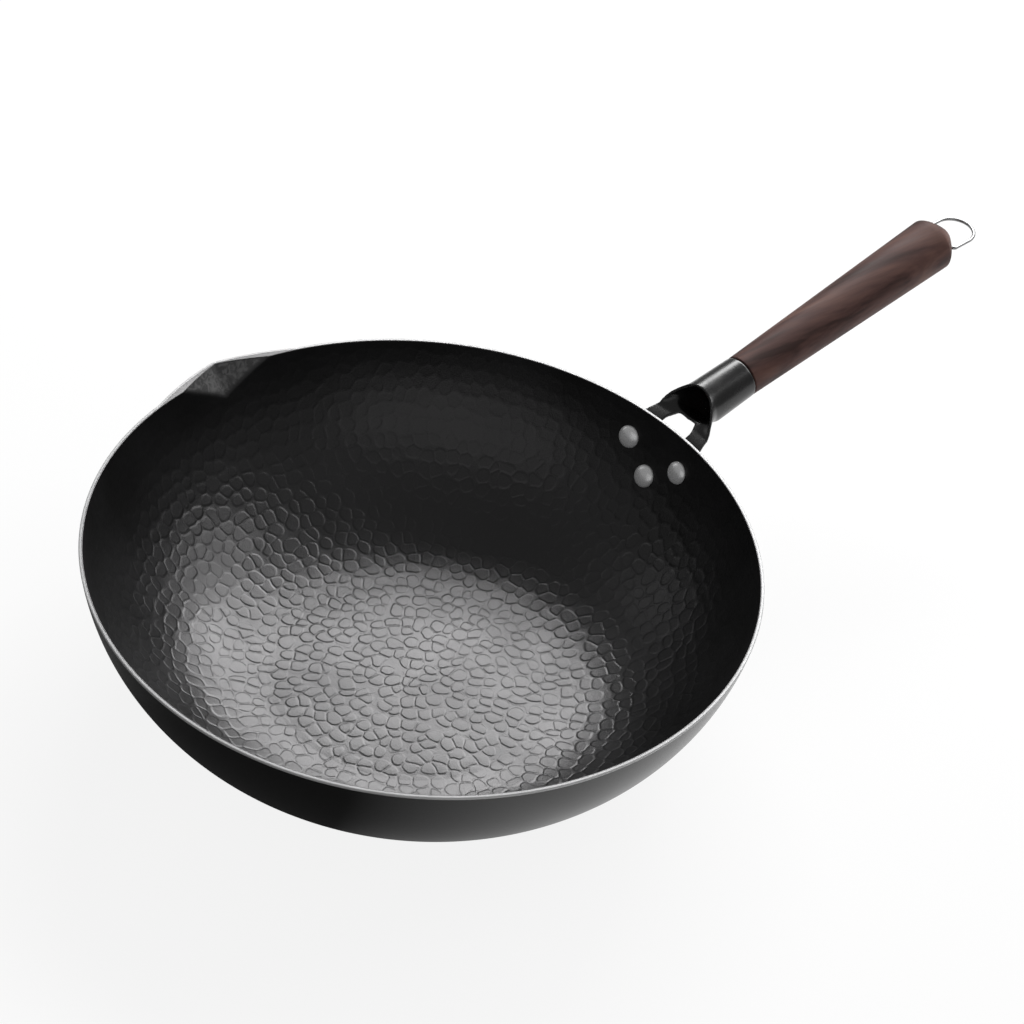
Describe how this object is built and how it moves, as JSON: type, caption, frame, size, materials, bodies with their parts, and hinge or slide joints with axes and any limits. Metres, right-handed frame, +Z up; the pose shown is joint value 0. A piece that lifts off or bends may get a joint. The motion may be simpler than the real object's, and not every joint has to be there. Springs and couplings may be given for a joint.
{
  "type": "wok",
  "caption": "Flat-bottomed wok with a pouring lip, hammered interior, riveted socket bracket, turned wooden grip and a wire hanging bail that swings.",
  "frame": {"origin": "middle of the flat base's underside", "axes": "+X along the grip in plan, +Z up, +Y towards the side with the pouring lip"},
  "size_m": [0.5381, 0.3273, 0.1325],
  "materials": {
    "pan_steel": "satin black, hammered inside, bare ground rim",
    "bracket_paint": "semi-gloss black",
    "rivet_steel": "bright",
    "grip_wood": "oiled dark wood",
    "wire_steel": "polished"
  },
  "bodies": {
    "wok": {"pan_body": "pan_steel", "handle_bracket": "bracket_paint", "rivet_left": "rivet_steel", "rivet_right": "rivet_steel", "rivet_lower": "rivet_steel", "handle_grip": "grip_wood", "socket_screw": "rivet_steel"},
    "bail": {"hang_ring": "wire_steel"}
  },
  "joints": [
    {"name": "bail_swing", "type": "hinge", "parent": "wok", "child": "bail", "pos_m": [0.3548, 0, 0.11965], "axis": [0, 1, 0], "range_deg": [-99, 81]}
  ]
}
